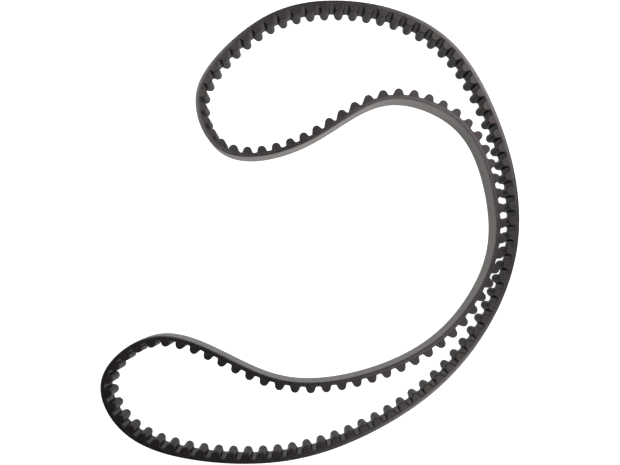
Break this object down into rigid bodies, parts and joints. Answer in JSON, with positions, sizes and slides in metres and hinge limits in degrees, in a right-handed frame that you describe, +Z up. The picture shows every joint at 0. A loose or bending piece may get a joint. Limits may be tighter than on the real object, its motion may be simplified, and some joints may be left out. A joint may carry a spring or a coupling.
{
  "type": "timing belt",
  "caption": "Endless rubber synchronous belt with rounded teeth at 5 mm pitch, 9 mm wide, lying on its edge as a loose C.",
  "frame": {"origin": "on the plane the belt stands on, under the centre of the loop's bounding box", "axes": "+Z up across the belt's width, +Y along the longer side of the C, +X towards the closed side of the C, away from its mouth"},
  "size_m": [0.1374, 0.153, 0.009],
  "materials": {
    "back_rubber": "ground black rubber with fine lengthwise streaks",
    "core_rubber": "cut black rubber edge",
    "cord_glass": "treated glass fibre yarn",
    "facing_fabric": "rubber-soaked nylon twill"
  },
  "bodies": {
    "root": {"backing_rubber": "back_rubber", "cord_bed_rubber": "core_rubber", "tension_cord_s": "cord_glass", "tension_cord_z": "cord_glass", "tooth_rubber": "core_rubber", "tooth_facing": "facing_fabric"}
  },
  "joints": []
}
